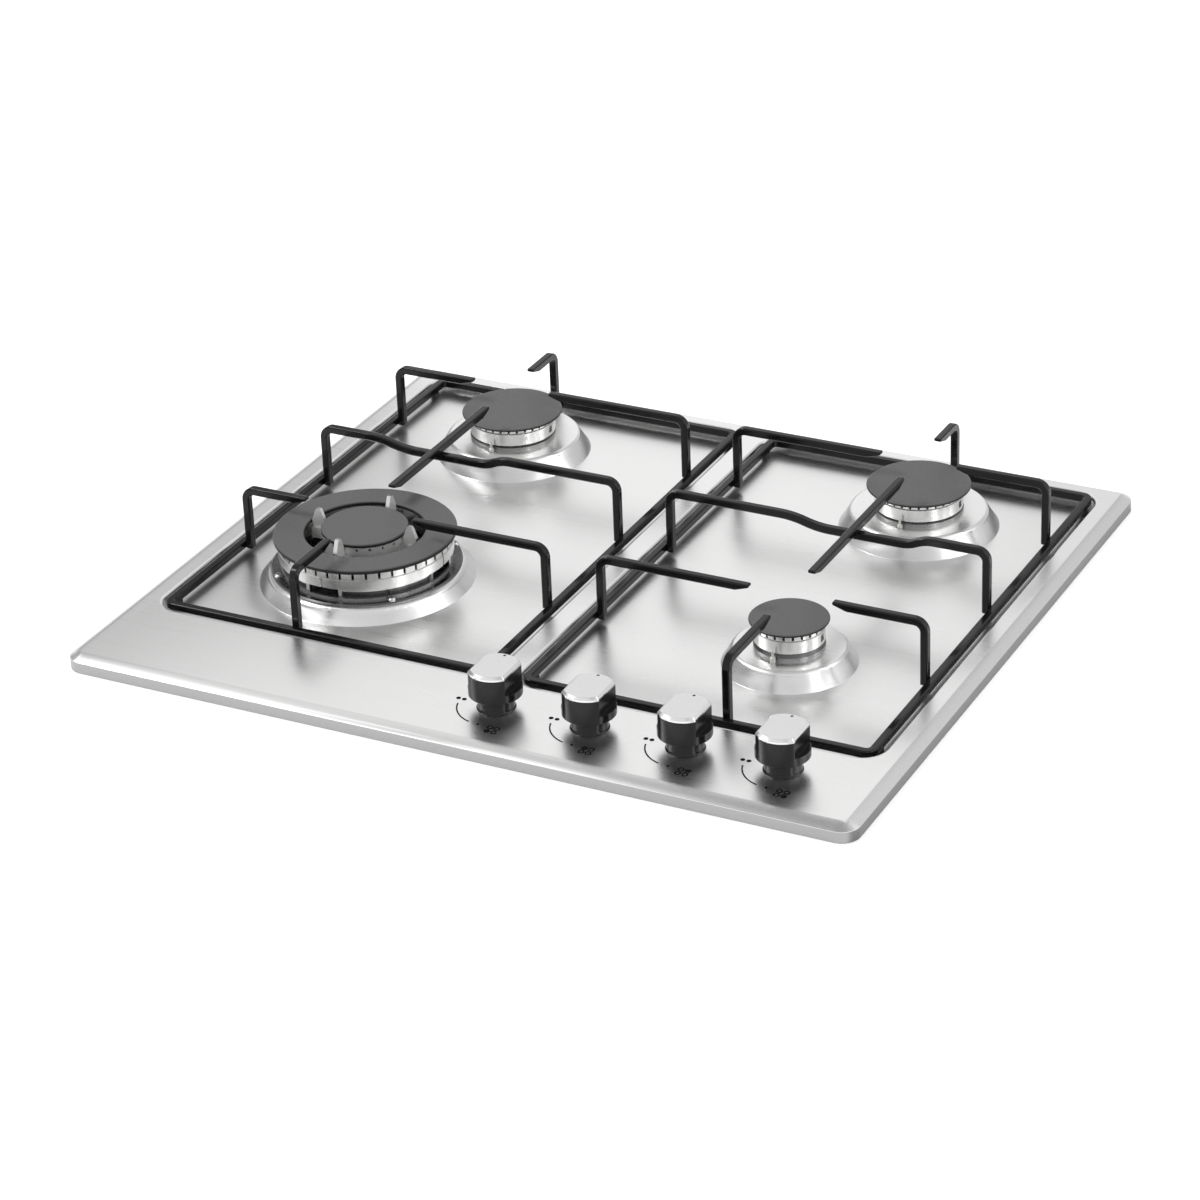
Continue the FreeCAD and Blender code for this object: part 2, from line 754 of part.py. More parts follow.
def leg_outline(outer, toward, tip, foot, rod, bend, inner_bend):
    top = FINGER_TOP
    return [
        (outer, foot),
        (outer, top - bend, bend * -toward),
        (outer + bend * toward, top),
        (tip, top),
        (tip, top - S["finger_tip"]),
        (tip - S["finger_tip_length"] * toward, top - rod),
        (outer + bend * toward, top - rod, inner_bend * toward),
        (outer + rod * toward, top - bend),
        (outer + rod * toward, foot)]


def end_leg(name, x, outer, toward, tip):
    # The same bent rod on the front or back bar, running along Y.
    rod, bend = S["rod"], S["finger_bend"]
    foot = GRATE_TOP - S["rod"]
    body = new_body(name, (x, 0, 0))
    sketch = new_sketch(body, "YZ_Plane", (0, 0, -(rod / 2)))
    draw_path(sketch, leg_outline(outer, toward, tip, foot, rod, bend, bend - rod))
    pad(body, sketch, rod)
    return body


def middle_bar(name, left, right, centre):
    # One rod from leg to leg; it dips by its own height under the centre finger.
    rod, bend = S["rod"], S["finger_bend"]
    path_bend = bend - rod / 2
    fall, rise = S["dip_near_run"], S["dip_far_run"]
    fall_arc = (fall * fall + rod * rod) / (rod * 4)
    rise_arc = (rise * rise + rod * rod) / (rod * 4)
    foot = GRATE_TOP - rod
    top = FINGER_TOP - rod / 2
    low = top - rod
    mid = top - rod / 2
    body = new_body(name, (0, S["middle_bar_y"], 0))
    spine = new_sketch(body, "XZ_Plane")
    near, far = centre - S["dip_near"], centre + S["dip_far"]
    draw_path(spine, [
        (left, foot), (left, top - path_bend, -path_bend), (left + path_bend, top),
        (near - fall, top, -fall_arc), (near - fall / 2, mid, fall_arc), (near, low),
        (far, low, rise_arc), (far + rise / 2, mid, -rise_arc), (far + rise, top),
        (right - path_bend, top, -path_bend), (right, top - path_bend), (right, foot)],
        closed=False)
    profile = new_sketch(body, "XY_Plane", (0, 0, foot))
    draw_box(profile, left - rod / 2, left + rod / 2, -(rod / 2), rod / 2)
    pipe = body.newObject("PartDesign::AdditivePipe", name + "_pipe")
    pipe.Profile = profile
    pipe.Spine = spine
    pipe.Transition = 0
    body.Tip = pipe
    return body


def centre_finger(name, x, front, back):
    rod, top = S["rod"], FINGER_TOP
    slope, tip = S["finger_tip_length"], S["finger_tip"]
    body = new_body(name, (x, 0, 0))
    sketch = new_sketch(body, "YZ_Plane", (0, 0, -(rod / 2)))
    draw_path(sketch, [
        (front, top), (front, top - tip), (front + slope, top - rod), (back - slope, top - rod),
        (back, top - tip), (back, top)])
    pad(body, sketch, rod)
    return body


def make_grate(side, sign, tips):
    inner, outer = S["grate_inner"], S["grate_outer"]
    rod = S["rod"]
    x0, x1 = (inner, outer) if sign > 0 else (-outer, -inner)
    y0, y1 = S["grate_front"], S["grate_back"]
    frame = new_body("grate_frame_" + side, (0, 0, GRATE_TOP - rod))
    sketch = new_sketch(frame, "XY_Plane")
    draw_frame(sketch, x0, x1, y0, y1, S["grate_corner"], rod)
    pad(frame, sketch, rod)
    keep(frame)

    left, right = x0 + rod, x1 - rod
    front, back = y0 + rod, y1 - rod
    fx, fy = spot("front_" + side)
    rx, ry = spot("rear_" + side)
    start = "grate_" + side
    rods = [
        side_leg(start + "_front_a", fy, left, 1, tips["front_a"]),
        side_leg(start + "_front_b", fy, right, -1, tips["front_b"]),
        side_leg(start + "_rear_a", ry, left, 1, tips["rear_a"]),
        side_leg(start + "_rear_b", ry, right, -1, tips["rear_b"]),
        end_leg(start + "_front_end", fx, front, 1, tips["front_end"]),
        end_leg(start + "_rear_end", rx, back, -1, tips["rear_end"]),
        centre_finger(start + "_centre", rx, tips["centre_front"], tips["centre_back"])]
    group("grate_fingers_" + side, rods)
    keep(middle_bar("grate_bar_" + side, left + rod / 2, right - rod / 2, rx))

    feet = []
    for number, (x, y) in enumerate([
            (x0 + rod / 2, y0 + 16), (x1 - rod / 2, y0 + 16),
            (x0 + rod / 2, y1 - 16), (x1 - rod / 2, y1 - 16)]):
        foot = new_body("grate_foot_%s_%d" % (side, number), (x, y, WELL_FLOOR))
        height = S["well_depth"] + S["grate_above_panel"] - rod
        radius = S["foot_radius"]
        turn(foot, [(0, 0), (radius - 0.6, 0), (radius, 0.8), (radius - 0.4, height),
                    (0, height)])
        feet.append(foot)
    group("grate_feet_" + side, feet)


# ---- controls ----

def make_collars():
    things = []
    reach = S["collar_radius"]
    for key in KNOBS:
        body = new_body("knob_collar_" + key, (KNOB_X[key], S["knob_y"], PANEL_TOP))
        turn(body, [
            (8, -3), (reach - 3.2, -3), (reach - 3.2, 0), (reach + 1, 0), (reach, 1.2),
            (reach, 9.2), (reach - 0.8, 10), (8, 10)])
        things.append(body)
    group("knob_collars", things)


def make_knob(key):
    radius, flat, shell = S["knob_radius"], S["knob_flat"], S["knob_shell"]
    low, top, ledge = S["knob_lift"], S["knob_top"], S["knob_ledge"]
    hub = S["spindle_radius"] + S["slide_gap"]
    body = new_body("knob_" + key, (KNOB_X[key], S["knob_y"], PANEL_TOP))
    turn(body, [
        (radius - shell, low), (radius - 0.6, low), (radius, low + 0.6), (radius, top),
        (0, top), (0, top - 3), (hub, top - 3), (hub, low + 3), (7, low + 3),
        (7, top - 4), (flat - shell, top - 4), (flat - shell, ledge),
        (radius - shell, ledge - shell)])
    cut_flats(body, top + 1, top + 1 - ledge)
    return keep(body)


def cut_flats(body, height, depth):
    radius, flat = S["knob_radius"], S["knob_flat"]
    sketch = new_sketch(body, "XY_Plane", (0, 0, height))
    draw_box(sketch, flat, radius + 1, -(radius + 1), radius + 1)
    draw_box(sketch, -(radius + 1), -flat, -(radius + 1), radius + 1)
    pocket(body, sketch, depth)


def make_knob_cap(key):
    radius, top = S["knob_radius"], S["knob_top"]
    height = S["knob_cap_height"]
    body = new_body("knob_cap_" + key, (KNOB_X[key], S["knob_y"], PANEL_TOP))
    sketch = new_sketch(body, "XY_Plane", (0, 0, top))
    draw_circle(sketch, 0, 0, radius)
    pad(body, sketch, height)
    cut_flats(body, top + height + 1, height + 2)
    bevel_edges(body, level(top + height), 1.6)
    sketch = new_sketch(body, "XY_Plane", (0, 0, top + height))
    draw_circle(sketch, 0, 14.4, 1.0)
    pocket(body, sketch, 0.5)
    return keep(body)


def make_spindle(key):
    # Runs from inside the tap plug up into the knob's hub.
    radius = S["spindle_radius"]
    body = new_body("spindle_" + key, (KNOB_X[key], S["knob_y"], 0))
    turn(body, [
        (0, 38), (radius - 0.6, 38), (radius, 38.6), (radius, PANEL_TOP + 24),
        (radius - 0.5, PANEL_TOP + 24.5), (0, PANEL_TOP + 24.5)])
    return keep(body)


def plug_radii():
    # The tapered plug leaves these walls round the spindle's bore.
    return S["spindle_radius"] + 1.2, S["spindle_radius"] + 3


def make_plug(key):
    body = new_body("tap_plug_" + key, (KNOB_X[key], S["knob_y"], 0))
    bore = S["spindle_radius"] + S["slide_gap"]
    foot, head = plug_radii()
    turn(body, [
        (0, 23), (foot, 23), (head, 50), (head, 53), (bore, 53), (bore, 34), (0, 34)])
    sketch = new_sketch(body, "XZ_Plane", (0, 0, -9))
    draw_circle(sketch, 0, S["feed_z"], 2)
    pocket(body, sketch, 12).Reversed = True
    return keep(body)


def make_tap_body(key):
    gap = S["turn_gap"]
    foot, head = plug_radii()
    mouth = S["spindle_radius"] + 0.5
    body = new_body("tap_body_" + key, (KNOB_X[key], S["knob_y"], 0))
    turn(body, [
        (0, 19), (9, 19), (10, 20), (10, 44), (12.5, 46), (12.5, 56), (mouth, 56),
        (mouth, 53.5), (head + gap, 53.2), (head + gap, 50), (foot + gap, 23 - gap),
        (0, 23 - gap)])
    doc.recompute()
    sketch = new_sketch(body, "XZ_Plane", (0, 0, -9))
    draw_circle(sketch, 0, S["feed_z"], 5.5)
    pad(body, sketch, 10).Reversed = True
    sketch = new_sketch(body, "XZ_Plane", (0, 0, 9))
    draw_circle(sketch, 0, S["feed_z"], 5.5)
    neck = -S["rail_y"] + S["knob_y"] - S["rail_radius"]
    pad(body, sketch, neck - 9)
    sketch = new_sketch(body, "XZ_Plane", (0, 0, -20))
    draw_circle(sketch, 0, S["feed_z"], S["feed_radius"] + S["joint_gap"])
    pocket(body, sketch, 8).Reversed = True
    sketch = new_sketch(body, "XY_Plane", (0, 0, 46))
    draw_rounded(sketch, -19, 19, -7, 7, 5)
    draw_circle(sketch, 0, 0, 11)
    pad(body, sketch, 3)
    return keep(body)


def make_switches():
    things = []
    for key in KNOBS:
        body = new_body("micro_switch_" + key, (KNOB_X[key] + 7.5, S["knob_y"], 56))
        sketch = new_sketch(body, "XY_Plane")
        draw_box(sketch, 0, 6, -9, 9)
        pad(body, sketch, 9)
        sketch = new_sketch(body, "XY_Plane", (0, 0, 9))
        draw_box(sketch, 1.5, 4.5, -7, 2)
        pad(body, sketch, 1.2)
        things.append(body)
    group("micro_switches", things)


# ---- gas and wiring inside the pan ----

def swept_tube(name, start_role, start, profile_offset, steps, level_z, radius, bore):
    body = new_body(name)
    spine = new_sketch(body, "XY_Plane", (0, 0, level_z))
    draw_path(spine, steps, closed=False)
    profile = new_sketch(body, start_role, profile_offset)
    draw_circle(profile, start, level_z, radius)
    draw_circle(profile, start, level_z, bore)
    pipe = body.newObject("PartDesign::AdditivePipe", name + "_pipe")
    pipe.Profile = profile
    pipe.Spine = spine
    pipe.Transition = 0
    body.Tip = pipe
    return body


def make_feed_pipe(key, lane, turn_y):
    # From the tap outlet towards the back, then across into the cup's foot.
    x, y = spot(key)
    start_x = KNOB_X[key]
    start_y = S["knob_y"] + 13
    bend = as_size(10.0)
    side = FEED_SIDE[key]
    end_x = x + 8.5 * side
    steps = [(start_x, start_y)]
    if lane is not None:
        lane = as_size(lane)
        steps += [(start_x, turn_y - bend, bend), (start_x - bend, turn_y),
                  (lane + bend, turn_y, -bend), (lane, turn_y + bend)]
        start_lane = lane
    else:
        start_lane = start_x
    if side > 0:
        steps += [(start_lane, y - bend, bend), (start_lane - bend, y)]
    else:
        steps += [(start_lane, y - bend, -bend), (start_lane + bend, y)]
    steps.append((end_x, y))
    body = swept_tube("feed_pipe_" + key, "XZ_Plane", start_x, (0, 0, -start_y), steps,
                      S["feed_z"], S["feed_radius"], S["feed_radius"] - 1)
    return keep(body)


def make_manifold():
    # Rail along the taps, then a supply run down the right side to the inlet.
    z = S["feed_z"]
    bend = as_size(16.0)
    y = S["rail_y"]
    left = S["knob_first_x"] - 22
    side_x = as_size(262.0)
    steps = [
        (left, y), (side_x - bend, y, bend), (side_x, y + bend),
        (side_x, S["inlet_y"] - bend, bend), (side_x - bend, S["inlet_y"]),
        (S["inlet_x"] + 9, S["inlet_y"])]
    body = new_body("manifold_rail")
    spine = new_sketch(body, "XY_Plane", (0, 0, z))
    draw_path(spine, steps, closed=False)
    profile = new_sketch(body, "YZ_Plane", (0, 0, left))
    draw_circle(profile, y, z, S["rail_radius"])
    draw_circle(profile, y, z, S["rail_radius"] - 1.5)
    pipe = body.newObject("PartDesign::AdditivePipe", "manifold_rail_pipe")
    pipe.Profile = profile
    pipe.Spine = spine
    body.Tip = pipe
    sketch = new_sketch(body, "YZ_Plane", (0, 0, left - 1))
    draw_circle(sketch, y, z, S["rail_radius"])
    pad(body, sketch, 3)
    return keep(body)


def make_inlet():
    radius = S["inlet_radius"]
    body = new_body("gas_inlet_elbow", (S["inlet_x"], S["inlet_y"], 0))
    turn(body, [
        (6.5, 0), (radius - 1, 0), (radius, 1), (radius, S["inlet_drop"] - S["thread_relief"]),
        (radius - 1.2, S["inlet_drop"] - S["thread_relief"]), (radius - 1.2, PAN_FLOOR),
        (15, PAN_FLOOR),
        (15, PAN_FLOOR + 3), (12, PAN_FLOOR + 3), (12, S["feed_z"] + 10),
        (10, S["feed_z"] + 12), (0, S["feed_z"] + 12), (0, S["feed_z"] + 9),
        (6.5, S["feed_z"] + 9)])
    sketch = new_sketch(body, "YZ_Plane")
    draw_circle(sketch, 0, S["feed_z"], S["rail_radius"] + S["joint_gap"])
    pocket(body, sketch, 20).Reversed = True
    return keep(body)


def make_module():
    body = new_body("ignition_module", (0, 212, PAN_FLOOR))
    sketch = new_sketch(body, "XY_Plane")
    draw_rounded(sketch, -36, 36, -20, 20, 3)
    pad(body, sketch, 24)
    bevel_edges(body, level(24), 1.5)
    sketch = new_sketch(body, "XY_Plane", (0, 0, 24))
    for i in range(4):
        draw_circle(sketch, -24 + 16 * i, -6, 4)
    pad(body, sketch, 7)
    return keep(body)


def make_terminal_block():
    body = new_body("terminal_block", (-225, 212, PAN_FLOOR))
    sketch = new_sketch(body, "XY_Plane")
    draw_box(sketch, -20, 20, -13, 13)
    pad(body, sketch, 20)
    sketch = new_sketch(body, "XY_Plane", (0, 0, 20))
    for i in range(3):
        draw_box(sketch, -17 + 12 * i, -7 + 12 * i, -10, 4)
    pocket(body, sketch, 9)
    return keep(body)


# ---- fasteners and clamps ----

def screw(name, at, head, shank, length, up=True):
    # Pan head with a cross recess; the shank points away from the head.
    sign = 1 if up else -1
    body = new_body(name, at)
    path = [(0, -length * sign), (shank, -length * sign), (shank, 0), (head, 0),
            (head, 1.2 * sign), (head - 1, 2.2 * sign), (0, 2.2 * sign)]
    turn(body, path if up else path[::-1])
    sketch = new_sketch(body, "XY_Plane", (0, 0, 2.2 * sign))
    arm, wide = head * 0.6, 0.4
    draw_path(sketch, [
        (arm, -wide), (arm, wide), (wide, wide), (wide, arm), (-wide, arm), (-wide, wide),
        (-arm, wide), (-arm, -wide), (-wide, -wide), (-wide, -arm), (wide, -arm),
        (wide, -wide)])
    cut = pocket(body, sketch, 1)
    cut.Reversed = not up
    return body


def make_screws():
    x, y = spot("front_left")
    seat = WELL_FLOOR + S["front_left_dish"] + 2
    reach = S["front_left_crest"] - 3.2
    group("burner_screws", [
        screw("burner_screw_%d" % i,
              (x + reach * math.cos(angle), y + reach * math.sin(angle), seat), 3, 1.5, 12)
        for i, angle in enumerate(SCREW_ANGLES)])
    group("pan_screws", [
        screw("pan_screw_" + key, (*spot(key), S["inlet_drop"]), 3.8, 1.75, 6, up=False)
        for key in BURNERS])


def make_clamps():
    clamps, screws = [], []
    half_y = S["pan_length"] / 2
    width, plate, reach = S["clamp_width"], S["clamp_plate"], S["clamp_reach"]
    for number, (side, front) in enumerate([(-1, -1), (1, -1), (-1, 1), (1, 1)]):
        x = S["clamp_x"] * side
        body = new_body("clamp_%d" % number, (x, 0, S["inlet_drop"]))
        sketch = new_sketch(body, "YZ_Plane", (0, 0, -(width / 2)))
        wall = half_y * front
        draw_path(sketch, [
            (wall, 4), (wall, 30), (wall + plate * front, 30),
            (wall + plate * front, 10), (wall + reach * front, 14),
            (wall + reach * front, 12), (wall + plate * front, 6), (wall + plate * front, 4)])
        pad(body, sketch, width)
        clamps.append(body)
        bolt = new_body("clamp_screw_%d" % number,
                        (x, wall + plate * front, S["inlet_drop"] + 23))
        sketch = new_sketch(bolt, "XZ_Plane")
        draw_circle(sketch, 0, 0, 4)
        head = pad(bolt, sketch, 2.4)
        head.Reversed = front > 0
        screws.append(bolt)
    group("worktop_clamps", clamps)
    group("clamp_screws", screws)


def build_all():
    make_top_panel()
    make_rim_seal()
    make_base_pan()
    make_wide_cup()
    make_wide_crown()
    make_wide_caps()
    for key in SMALL:
        make_small_cup(key)
        make_small_crown(key, 24 if key == "front_right" else 32)
        make_small_cap(key)
    make_injectors()
    make_electrodes()
    make_grate("left", -1, {
        "front_a": -208, "front_b": -123, "rear_a": -194, "rear_b": -131,
        "front_end": -111, "rear_end": 189, "centre_front": -22, "centre_back": 120})
    make_grate("right", 1, {
        "front_a": 132, "front_b": 192.5, "rear_a": 133.5, "rear_b": 191,
        "front_end": -95, "rear_end": 192.5, "centre_front": -28, "centre_back": 126.5})
    make_collars()
    for key in KNOBS:
        make_tap_body(key)
        make_plug(key)
        make_spindle(key)
        make_knob(key)
        make_knob_cap(key)
    make_switches()
    make_feed_pipe("front_left", None, None)
    make_feed_pipe("rear_left", None, None)
    make_feed_pipe("rear_right", 112, -140)
    make_feed_pipe("front_right", None, None)
    make_manifold()
    make_inlet()
    make_module()
    make_terminal_block()
    make_screws()
    make_clamps()


def check_and_export():
    doc.recompute()
    failed = [thing.Name for thing in doc.Objects
              if "Invalid" in thing.State or "Error" in thing.State]
    if failed:
        raise RuntimeError("did not build: %s" % ", ".join(failed))
    os.makedirs("parts", exist_ok=True)
    broken = [thing.Label for thing in made
              if thing.Shape.isNull() or not thing.Shape.isValid()]
    if broken:
        raise RuntimeError("no valid shape: %s" % ", ".join(broken))
    for thing in made:
        shape = thing.Shape
        box = shape.BoundBox
        print("%-26s solids %2d  volume %10.1f  z %.1f to %.1f" % (
            thing.Label, len(shape.Solids), shape.Volume, box.ZMin, box.ZMax))
        shape.exportStep("parts/%s.step" % thing.Label)


build_all()
check_and_export()
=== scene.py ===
import json
import math

import bmesh
import bpy
from mathutils import Matrix, Vector


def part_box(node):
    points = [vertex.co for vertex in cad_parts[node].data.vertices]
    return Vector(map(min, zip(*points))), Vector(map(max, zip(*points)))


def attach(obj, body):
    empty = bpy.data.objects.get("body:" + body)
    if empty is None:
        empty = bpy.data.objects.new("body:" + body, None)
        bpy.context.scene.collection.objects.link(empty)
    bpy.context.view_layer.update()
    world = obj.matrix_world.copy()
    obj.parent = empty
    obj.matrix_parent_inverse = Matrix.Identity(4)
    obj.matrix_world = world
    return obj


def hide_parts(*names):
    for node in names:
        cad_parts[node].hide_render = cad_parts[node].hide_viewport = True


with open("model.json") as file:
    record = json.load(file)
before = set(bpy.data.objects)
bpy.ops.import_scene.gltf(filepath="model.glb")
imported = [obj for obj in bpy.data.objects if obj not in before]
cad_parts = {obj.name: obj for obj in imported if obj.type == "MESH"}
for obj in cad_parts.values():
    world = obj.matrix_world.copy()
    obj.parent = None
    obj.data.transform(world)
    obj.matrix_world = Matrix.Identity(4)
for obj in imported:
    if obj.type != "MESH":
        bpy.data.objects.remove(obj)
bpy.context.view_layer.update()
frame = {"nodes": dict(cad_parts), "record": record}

mm = 0.001
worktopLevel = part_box("rim_seal")[0].z
panelTop = worktopLevel + 12.2 * mm  # the panel's flat top
knobNames = ["front_left", "rear_left", "rear_right", "front_right"]

# the photograph's view: degrees, metres, and millimetres for the lens
cameraSettings = {
    "azimuth": 27.772,
    "elevation": 27.769,
    "roll": -2.353,
    "distance": 2.716339,
    "target": (-0.00017, -0.023775),  # on the worktop
    "lens": 117.844,
    "sensor": 36,
    "clip": (0.05, 60),
}


def makeCamera(settings):
    azimuth = math.radians(settings["azimuth"])
    elevation = math.radians(settings["elevation"])
    roll = math.radians(settings["roll"])
    back = Vector((math.sin(azimuth) * math.cos(elevation),
                   -math.cos(azimuth) * math.cos(elevation), math.sin(elevation)))
    right = Vector((math.cos(azimuth), math.sin(azimuth), 0))
    up = back.cross(right)
    tiltedRight = right * math.cos(roll) + up * math.sin(roll)
    tiltedUp = up * math.cos(roll) - right * math.sin(roll)
    target = Vector((*settings["target"], worktopLevel))
    place = target + back * settings["distance"]
    camera = bpy.data.objects.new("camera", bpy.data.cameras.new("camera"))
    camera.data.lens = settings["lens"]
    camera.data.sensor_width = settings["sensor"]
    camera.data.clip_start, camera.data.clip_end = settings["clip"]
    turn = Matrix((tiltedRight, tiltedUp, back)).transposed().to_4x4()
    camera.matrix_world = Matrix.Translation(place) @ turn
    bpy.context.collection.objects.link(camera)
    bpy.context.scene.camera = camera
    print("camera placed")


# most of a noise pattern lies between these two values
patternLow, patternHigh = 0.3, 0.7


def grey(tone):
    return (tone, tone, tone)


class Shade:
    # a small wrapper round one material's nodes
    def __init__(self, name, **values):
        self.material = bpy.data.materials.new(name)
        self.material.use_nodes = True
        self.nodes = self.material.node_tree.nodes
        self.links = self.material.node_tree.links
        self.shader = self.nodes["Principled BSDF"]
        for key, value in values.items():
            self.set(key, value)

    def feed(self, socket, value):
        # a socket takes another node's output, a colour or a number
        if isinstance(value, bpy.types.NodeSocket):
            self.links.new(value, socket)
        elif socket.type == "RGBA":
            socket.default_value = (*value, 1)
        else:
            socket.default_value = value

    def set(self, key, value):
        self.feed(self.shader.inputs[key], value)

    def add(self, kind, inputs=None, **attributes):
        node = self.nodes.new(kind)
        for key, value in attributes.items():
            setattr(node, key, value)
        for key, value in (inputs or {}).items():
            self.feed(node.inputs[key], value)
        return node

    def reckon(self, operation, *values):
        node = self.add("ShaderNodeMath", dict(enumerate(values)), operation=operation)
        return node.outputs[0]

    def spread(self, value, low, high, start=0, end=1, ease="LINEAR"):
        # a value between two limits, brought to between two others
        node = self.add("ShaderNodeMapRange", {
            "Value": value, "From Min": low, "From Max": high,
            "To Min": start, "To Max": end}, interpolation_type=ease)
        return node.outputs["Result"]

    def step(self, value, low, high):
        return self.spread(value, low, high, ease="SMOOTHSTEP")

    def part(self, source, axis):
        # one axis of the piece's own normal or place
        place = self.add("ShaderNodeTexCoord").outputs[source]
        return self.add("ShaderNodeSeparateXYZ", {0: place}).outputs[axis]

    def coordinates(self, stretch=(1, 1, 1)):
        place = self.add("ShaderNodeTexCoord").outputs["Object"]
        node = self.add("ShaderNodeMapping", {"Vector": place, "Scale": stretch})
        return node.outputs["Vector"]

    def noise(self, scale, detail=2, stretch=(1, 1, 1), roughness=0.5):
        node = self.add("ShaderNodeTexNoise", {
            "Vector": self.coordinates(stretch), "Scale": scale,
            "Detail": detail, "Roughness": roughness})
        return node.outputs["Fac"]

    def upward(self, low, high):
        # 1 where the piece's own surface faces up, 0 on its sides
        return self.step(self.part("Normal", "Z"), low, high)

    def sideways(self, blend):
        # 1 on faces that look left or right, 0 on those that look to front or back
        x, y = [self.reckon("ABSOLUTE", self.part("Normal", axis)) for axis in "XY"]
        return self.step(self.reckon("SUBTRACT", x, y), -blend, blend)

    def outside(self, low, high, blend):
        # 0 inside a rectangle seen from above, 1 beyond its edge
        middle, half = (low + high) / 2, (high - low) / 2
        reach = []
        for index, axis in enumerate("XY"):
            shift = self.reckon("SUBTRACT", self.part("Object", axis), middle[index])
            size = self.reckon("ABSOLUTE", shift)
            reach.append(self.reckon("SUBTRACT", size, half[index]))
        return self.step(self.reckon("MAXIMUM", *reach), -blend, blend)

    def within(self, middle, inner, outer, top):
        # 1 between two radii of an upright axis and lower than a level
        place = self.add("ShaderNodeTexCoord").outputs["Object"]
        shift = self.add("ShaderNodeVectorMath", {0: place, 1: (middle.x, middle.y, 0)},
                         operation="SUBTRACT").outputs[0]
        flat = self.add("ShaderNodeVectorMath", {0: shift, 1: (1, 1, 0)},
                        operation="MULTIPLY").outputs[0]
        reach = self.add("ShaderNodeVectorMath", {0: flat},
                         operation="LENGTH").outputs["Value"]
        near = self.reckon("COMPARE", reach, (inner + outer) / 2, (outer - inner) / 2)
        level = self.add("ShaderNodeSeparateXYZ", {0: shift}).outputs["Z"]
        return self.reckon("MULTIPLY", near, self.reckon("LESS_THAN", level, top))

    def mix(self, value, dark, light):
        # a pattern between two colours; either may be another node's output
        node = self.add("ShaderNodeMix", {"Factor": value}, data_type="RGBA")
        sockets = [item for item in node.inputs if item.type == "RGBA"]
        for socket, color in zip(sockets, (dark, light)):
            self.feed(socket, color)
        return [item for item in node.outputs if item.type == "RGBA"][0]

    def tint(self, value, dark, light):
        self.set("Base Color", self.mix(value, dark, light))

    def span(self, value, low, high, key):
        # spreads a pattern between two numbers on a shader socket
        self.set(key, self.spread(value, patternLow, patternHigh, low, high))

    def bump(self, value, strength, distance):
        node = self.add("ShaderNodeBump", {
            "Height": value, "Strength": strength, "Distance": distance})
        self.set("Normal", node.outputs["Normal"])


# in pairs of colours the darker comes first; facing is the upward part of the normal
steelSettings = {
    "anisotropy": 0.45,
    "brush": {"scale": 1, "detail": 3, "stretch": (4, 1100, 1100), "roughness": 0.6},
    "flat": ((0.855, 0.855, 0.85), (0.895, 0.895, 0.89)),
    "flatFacing": (0.86, 0.99),
    "slope": grey(0.66),  # walls of the wells and the dishes, darker as painted shade
    "rimInset": 8.1 * mm,
    "rimBlend": 0.6 * mm,
    "rimGrain": {"scale": 1, "detail": 3, "stretch": (260, 2600, 2600), "roughness": 0.7},
    "rimFacing": (0.70, 0.86),
    # painted reflection on the front rim: pale to the left, dark to the right
    "rimPaintedBright": ((0.72, 0.72, 0.715), (0.88, 0.88, 0.875)),
    "rimPaintedDark": (grey(0.30), grey(0.62)),
    "rimDarkensAlong": (0.02, 0.29),  # the front rim's painted reflection turns from pale to dark between these X
    # painted reflection on the left and right rims
    "sideRimPainted": (grey(0.56), grey(0.80)),
    "sideBlend": 0.3,
    "skirtPaintedShade": (grey(0.36), grey(0.19)),  # painted shade: front and back, then left and right
    "skirtPaintedHighlight": (grey(0.82), grey(0.50)),  # painted highlight on the edge above the skirt, in the same order
    "skirtFacing": (0.05, 0.25),
    "gloss": (0.27, 0.32),
    "bump": (0.02, 0.03 * mm),
}


def brushedSteel(settings):
    # long fine brush lines on the flats; painted reflection on the rim, darker to the right
    shade = Shade("brushedSteel", **{"Metallic": 1.0, "Anisotropic": settings["anisotropy"]})
    streaks = shade.noise(**settings["brush"])
    smooth = shade.mix(streaks, *settings["flat"])
    # painted shade on the sloping walls of the wells and dishes
    flat = shade.mix(shade.upward(*settings["flatFacing"]), settings["slope"], smooth)
    grain = shade.noise(**settings["rimGrain"])
    # painted reflection on the rim, darker towards the right and on the sides
    paintedDarkeningAlong = shade.step(shade.part("Object", "X"), *settings["rimDarkensAlong"])
    paintedFrontRim = shade.mix(paintedDarkeningAlong, shade.mix(grain, *settings["rimPaintedBright"]),
                         shade.mix(grain, *settings["rimPaintedDark"]))
    onSide = shade.sideways(settings["sideBlend"])
    paintedRim = shade.mix(onSide, paintedFrontRim, shade.mix(grain, *settings["sideRimPainted"]))
    # painted shade on the skirt, painted highlight on the edge above it
    wall = shade.mix(shade.upward(*settings["skirtFacing"]),
                     shade.mix(onSide, *settings["skirtPaintedShade"]),
                     shade.mix(onSide, *settings["skirtPaintedHighlight"]))
    paintedEdge = shade.mix(shade.upward(*settings["rimFacing"]), wall, paintedRim)
    low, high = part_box("top_panel")
    inset = Vector((settings["rimInset"], settings["rimInset"], 0))
    onRim = shade.outside(low + inset, high - inset, settings["rimBlend"])
    shade.tint(onRim, flat, paintedEdge)
    shade.span(streaks, *settings["gloss"], "Roughness")
    shade.bump(streaks, *settings["bump"])
    tangent = shade.add("ShaderNodeTangent", direction_type="RADIAL", axis="Y")
    shade.set("Tangent", tangent.outputs["Tangent"])
    return shade.material


